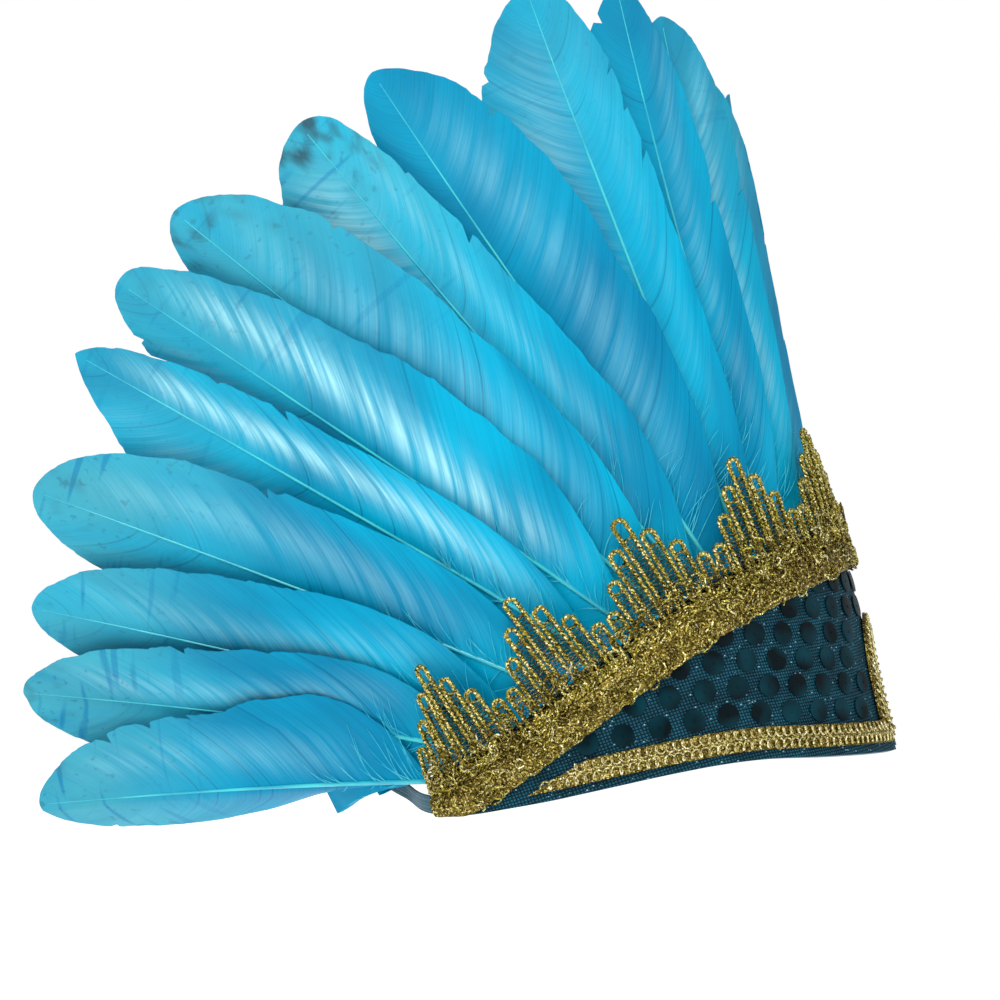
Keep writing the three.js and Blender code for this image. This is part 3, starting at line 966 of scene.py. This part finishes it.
def make_scallop(index):
    """One scallop of lace: loops of two-ply gold cord side by side on common foot cords."""
    chance = random.Random(100 + index)
    width = 2 * HALF_EDGE / SCALLOPS
    start = -HALF_EDGE + index * width + LACE_SPACING / 2
    pitch = (width - LACE_SPACING) / LOOPS
    reach = pitch / 2 - CORD_RADIUS - 0.05
    strands = []
    bright_threads = []
    dark_threads = []
    for loop in range(LOOPS):
        middle = start + pitch * (loop + 0.5)
        off = abs(loop - (LOOPS - 1) / 2) / ((LOOPS - 1) / 2)
        height = LOOP_PEAK + (LOOP_VALLEY - LOOP_PEAK) * off
        sway = chance.uniform(-0.25, 0.25)
        leg = [(LACE_FOOT + (height - reach - LACE_FOOT) * i / LEG_STEPS,
                0.15 * math.sin(i * 0.9 + loop)) for i in range(LEG_STEPS + 1)]
        turns = [math.pi * i / LEG_STEPS for i in range(1, LEG_STEPS)]
        tip = [(middle - reach * math.cos(turn) + sway * math.sin(turn),
                height - reach + (reach - 0.4) * math.sin(turn) - 0.3, 0) for turn in turns]
        strands += two_ply([(middle - reach, y, z) for y, z in leg] + tip
                           + [(middle + reach, y, z) for y, z in reversed(leg)])
        # Threads cross to and fro between the legs of a loop, and leave only its tip open.
        open_tip = 3 + 4 * (1 - off)
        rungs = max(3, round((height - open_tip - LACE_FOOT) / THREAD_RISE))
        # The lower threads, in the darker gold, are painted shade under the upper ones.
        for hand, threads in ((1, bright_threads), (-1, dark_threads)):
            zigzag = []
            for i in range(rungs + 1):
                y = LACE_FOOT + 0.6 + (height - open_tip - LACE_FOOT) * i / rungs
                x = middle + (pitch / 2 - 0.2) * (hand if i % 2 else -hand) * chance.uniform(0.8, 1)
                x = min(start + width - LACE_SPACING - LACE_END, max(start + LACE_END, x))
                z = TRIM_GAP + CORD_LIFT + 0.25 * hand + chance.uniform(-0.2, 0.35)
                zigzag.append((edge_point(x, y + chance.uniform(-0.3, 0.3), z), 1))
            threads.append(zigzag)
    run = width - LACE_SPACING - 2 * LACE_END
    for foot in FOOT_CORDS:
        strands += two_ply([(start + LACE_END + run * i / FOOT_STEPS, foot, 0.1)
                            for i in range(FOOT_STEPS + 1)])
    scallop = join(f"lace_loops_{index + 1}",
                   tube("lace_cords", strands, PLY_RADIUS, 6, lace_gold),
                   tube("lace_threads", bright_threads, THREAD_RADIUS, 4, lace_gold),
                   tube("lace_dark_threads", dark_threads, THREAD_RADIUS, 4, dark_gold))
    return finish(scallop, 60, "gold_thread", f"lace_scallop_{index + 1}")


for scallop_index in range(SCALLOPS):
    make_scallop(scallop_index)


# ---------------------------------------------------------------- feathers

# How each feather took the dye, and the light painted on it: its painted satin gleam, the depth
# of its dye, how thin and pale its outer end is, and how dark the marks at its tip are.
DYE_MARKS_AND_PAINTED_GLEAM = {
    "front": (0.1, 0.4, 0.15, 0.1),
    "fore_a": (0.15, 0.2, 0.25, 0.1),
    "fore_b": (0.35, 0.05, 0.3, 0.1),
    "crown_a": (0.15, 0.35, 0.1, 0.1),
    "crown_b": (0.3, 0.1, 0.3, 0.1),
    "crown_c": (0.2, 0.45, 0.1, 0.1),
    "temple_a": (0.85, 0, 0.6, 1.0),
    "temple_b": (0.2, 0.15, 0.6, 0.8),
    "temple_c": (0.9, 0, 0.5, 0.1),
    "side_a": (0.9, 0, 0.3, 0.1),
    "side_b": (0.22, 0.15, 0.7, 0.3),
    "side_c": (0.22, 0.1, 0.6, 0.1),
    "ear_a": (0.3, 0.2, 0.8, 0.3),
    "ear_b": (0.2, 0.45, 0.8, 0.3),
}
# The few feathers whose painted gleam lies on the rear vane, where the rest have it on the forward
# one.
REAR_PAINTED_GLEAM = ("temple_a", "crown_b")

BARB_SLANT = math.radians(40)
VANE_ROWS = 84
VANE_COLUMNS = 18
VANE_THICKNESS = 0.32
ROOT_SHARE = 0.02
HALVINGS = 14
LEAST_BARB = 0.2
NOTCH_WIDTH = 0.006
QUILL_STEPS = 40
QUILL_RADIUS = 0.95
DOWN_STRANDS = 26
DOWN_STEPS = 6
DOWN_RADIUS = 0.17


def vane_share(share, point):
    """The vane's half width at a share of the quill, as a share of its most."""
    up = min(1, max(0, (share - BARE_SHARE) / (1 - BARE_SHARE)))
    if up < WIDEST:
        return 1 - (1 - up / WIDEST) ** 3
    return max(0, 1 - ((up - WIDEST) / (1 - WIDEST)) ** 3) ** point


def tone_vane(vane, name, length, half, seed, barb):
    """Writes on each point of a vane how much painted gleam it has, how thin it is, how deep in dye
    and how marked.
    """
    painted_gleam, depth, thinness, marks = DYE_MARKS_AND_PAINTED_GLEAM[name]
    rear = name in REAR_PAINTED_GLEAM
    kinds = {"worn": "FLOAT", "painted_satin": "FLOAT", "thin": "FLOAT", "deep": "FLOAT",
             "flat": "FLOAT_VECTOR"}
    for key, kind in kinds.items():
        vane.data.attributes.new(key, kind, "POINT")
    worn, painted_satin, thin, deep, flat = (vane.data.attributes[key] for key in kinds)
    for k, vertex in enumerate(vane.data.vertices):
        u = (k % (VANE_COLUMNS + 1)) / VANE_COLUMNS
        v = (k // (VANE_COLUMNS + 1)) / VANE_ROWS
        sideways, _, along = barb(u, v)
        share = along / length
        # The painted gleam: a streak along one vane and a fainter one on the other, kept off the foot
        # and the tip.
        outward = sideways / half * (-1 if rear else 1)
        drift = 0.12 * math.sin(along / 22 + seed)
        streak = math.exp(-((outward + 0.42 + drift) / (0.36 if rear else 0.2)) ** 2)
        faint = 0.25 * math.exp(-((outward - 0.5) / 0.2) ** 2) * ease(0.2, 0.4, share)
        shown = ease(0.12, 0.4, share) * (1 - ease(0.8, 0.97, share))
        fray = noise.noise(Vector((along / 5, sideways / 5, seed + 9)))
        rim = ease(0.72, 1.0, max(share, 0.85 * abs(2 * u - 1)))
        worn.data[k].value = max(0, min(1, marks * ease(0.8, 1.0, share) * rim * (3 * fray - 0.3)))
        painted_satin.data[k].value = painted_gleam * shown * (streak + faint)
        thin.data[k].value = thinness * ease(0.45, 0.95, share)
        deep.data[k].value = depth
        flat.data[k].vector = (along / 100, sideways / 100, seed)


def make_feather(row, side):
    """A quill, its two vanes and the down at its foot. Each row of the vanes' points lies along one
    barb."""
    name, at, _, length, width, point = row
    piece_name = name if at == 0 else f"{name}_{'right' if side > 0 else 'left'}"
    chance = random.Random(piece_name)
    seed = chance.uniform(0, 100)
    half = width / 2
    notches = [(chance.uniform(0.3, 0.9), chance.choice((-1, 1)), chance.uniform(0.05, 0.2))
               for _ in range(chance.randint(1, 4))]

    def off_quill(along, sideways, lift):
        """A point off this quill, mirrored for the left side. Its vanes lie like shingles."""
        tuck = SHINGLE * (abs(sideways) if at == 0 else sideways)
        spot = vane_point(at, along, sideways, lift - tuck)
        return Vector((side * spot.x, spot.y, spot.z))

    def barb_length(root, hand):
        """How long a barb is that starts at this share of the quill."""
        short, reach = 0.0, half
        for _ in range(HALVINGS):
            middle = (short + reach) / 2
            tip = min(1, root + middle / math.tan(BARB_SLANT) / length)
            if half * vane_share(tip, point) > middle:
                short = middle
            else:
                reach = middle
        ragged = 1 + 0.05 * noise.noise(Vector((root * 11, hand * 5, seed)))
        ragged += 0.02 * noise.noise(Vector((root * 60, hand * 5, seed)))
        for where, notch_hand, depth in notches:
            if notch_hand == hand:
                ragged -= depth * math.exp(-((root - where) / NOTCH_WIDTH) ** 2)
        return max(LEAST_BARB, reach * ragged)

    roots = [ROOT_SHARE + (1 - ROOT_SHARE) * i / VANE_ROWS for i in range(VANE_ROWS + 1)]
    reaches = {hand: [barb_length(root, hand) for root in roots] for hand in (-1, 1)}

    def barb(u, v):
        """(sideways, root, along) of a point: u runs across the feather and v up the roots."""
        across = 2 * u - 1
        hand = -1 if across < 0 else 1
        k = round(v * VANE_ROWS)
        out = abs(across) * reaches[hand][k]
        root = roots[k] * length
        along = min(length, root + out / math.tan(BARB_SLANT) * (0.35 + 0.65 * abs(across)))
        return hand * out, root, along

    def place(u, v):
        sideways, root, along = barb(u, v)
        share = abs(sideways) / half
        lift = 0.3 * noise.noise(Vector((along / 34, sideways / 14, seed))) * min(1, share * 3)
        lift += 0.08 * math.sin(root / 3.1 + seed) * share
        lift -= 0.25 * share ** 3 if sideways > 0 else 0
        return off_quill(along, sideways, lift)

    def coordinates(u, v):
        sideways, root, _ = barb(u, v)
        return root / 100 + seed, sideways / 100

    vane = grid("vane", VANE_COLUMNS, VANE_ROWS, place, coordinates, feather_blue)
    tone_vane(vane, name, length, half, seed, barb)
    thicken(vane, VANE_THICKNESS)
    shares = [0.98 * i / QUILL_STEPS for i in range(QUILL_STEPS + 1)]
    quill = tube("quill", [[(off_quill(share * length, 0, 0.05), (1 - 0.85 * share) * QUILL_RADIUS)
                            for share in shares]], 1.0, 8, quill_dye)
    wisps = []
    for k in range(DOWN_STRANDS):
        hand = 1 if k % 4 == 0 else -1
        root = chance.uniform(0.03, 0.34)
        reach = chance.uniform(9, 19) * (1 - root)
        slant = math.radians(chance.uniform(22, 62))
        drift = chance.uniform(-4, 3)
        wisps.append([])
        for i in range(DOWN_STEPS + 1):
            s = i / DOWN_STEPS
            sideways = hand * reach * s * math.sin(slant)
            along = root * length + reach * s * math.cos(slant) + drift * s * s
            wisps[-1].append((off_quill(along, sideways, 0.35 + 0.8 * math.sin(3 * s)),
                              1 - 0.75 * s))
    down = tube("down", wisps, DOWN_RADIUS, 4, feather_down)
    feather = join(f"goose_feather_{piece_name}", vane, quill, down)
    return finish(feather, 50, "feather", f"feather_{piece_name}")


for feather_row in FEATHERS:
    for feather_side in (1, -1) if feather_row[1] else (1,):
        make_feather(feather_row, feather_side)


# ---------------------------------------------------------------- the elastic

STRAP_THICKNESS = 1.2
STRAP_BOTTOM = 0.3
STRAP_TOP = 6.3
STRAP_LAP = 8
STRAP_INWARD = 10
STRAP_TURN = 16
STRAP_RISE = 12
STRAP_RISE_TURN = 45
STRAP_EDGE = 0.2
STRAP_RIBS = 5
STRAP_RIB = 0.12
BAND_THICKNESS = 0.8


def make_elastic():
    end_drop = panel_point(PANEL_END, 0, 0).z

    def place(u, v):
        low = PANEL_END - STRAP_LAP
        angle = low + (360 - 2 * low) * u
        near = min(angle, 360 - angle)
        signed = angle - 360 if angle > 180 else angle
        slack = STRAP_INWARD * ease(PANEL_END, PANEL_END + STRAP_TURN, near)
        height = STRAP_BOTTOM + STRAP_EDGE + (STRAP_TOP - STRAP_BOTTOM - 2 * STRAP_EDGE) * v
        # Ribs run along the elastic, over its rubber cores.
        rib = STRAP_RIB * math.cos(v * math.tau * STRAP_RIBS)
        inset = PANEL_THICKNESS + TRIM_GAP + STRAP_THICKNESS / 2 + slack - rib
        spot = panel_point(signed, height, -inset)
        if near >= PANEL_END:
            rise = STRAP_RISE * ease(PANEL_END, PANEL_END + STRAP_RISE_TURN, near)
            spot.z = end_drop + height + rise
        return spot

    band = grid("elastic_band", 120, 20, place, lambda u, v: (u * 2.6, v * 0.075), elastic_weave)
    thicken(band, BAND_THICKNESS)
    return finish(band, 50, "elastic", "back_elastic")


make_elastic()

# ---------------------------------------------------------------- floor, light and camera

FLOOR_BELOW = 0.12
TARGET = Vector((0, 0.035, 0.080))

bpy.ops.object.select_all(action="DESELECT")
bpy.ops.mesh.primitive_plane_add(size=6, location=(0, 0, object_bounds()[0][2] - FLOOR_BELOW))
floor = bpy.context.object
floor.name = "floor"
floor.data.materials.append(studio_floor())


def from_angle(azimuth, elevation, distance):
    a = math.radians(azimuth)
    e = math.radians(elevation)
    way = Vector((math.sin(a) * math.cos(e), -math.cos(a) * math.cos(e), math.sin(e)))
    return TARGET + way * distance


# name, azimuth, elevation, distance, size, power in watts
LIGHTS = [
    ("key", -100, 38, 1.4, 0.7, 13),
    ("fill", -40, 15, 1.6, 1.2, 4),
    ("rim", 120, 50, 1.5, 0.8, 8),
    ("front", 0, 20, 1.6, 1.0, 2),
]
for light_name, azimuth, elevation, distance, size, power in LIGHTS:
    bpy.ops.object.light_add(type="AREA", location=from_angle(azimuth, elevation, distance))
    light = bpy.context.object
    light.name = light_name
    light.data.size = size
    light.data.energy = power
    light.rotation_euler = (TARGET - light.location).to_track_quat("-Z", "Y").to_euler()

# The backdrop is seen as white, and lights the headdress more softly than it looks.
world = bpy.data.worlds.new("studio")
bpy.context.scene.world = world
world.use_nodes = True
air = world.node_tree
soft = air.nodes["Background"]
soft.inputs["Color"].default_value = srgb("#F4F6F8")
soft.inputs["Strength"].default_value = 0.5
seen = add(air, "ShaderNodeBackground", Color=srgb("#FFFFFF"), Strength=1.0)
ray = add(air, "ShaderNodeLightPath")
both = add(air, "ShaderNodeMixShader", at0=ray.outputs["Is Camera Ray"], at1=soft.outputs[0],
           at2=seen.outputs[0])
air.links.new(both.outputs[0], air.nodes["World Output"].inputs["Surface"])
bpy.context.scene.view_settings.view_transform = "Standard"

bpy.ops.object.camera_add(location=from_angle(-82, -1.5, 0.95))
camera = bpy.context.object
camera.rotation_euler = (TARGET - camera.location).to_track_quat("-Z", "Y").to_euler()
camera.data.lens = 104
bpy.context.scene.camera = camera
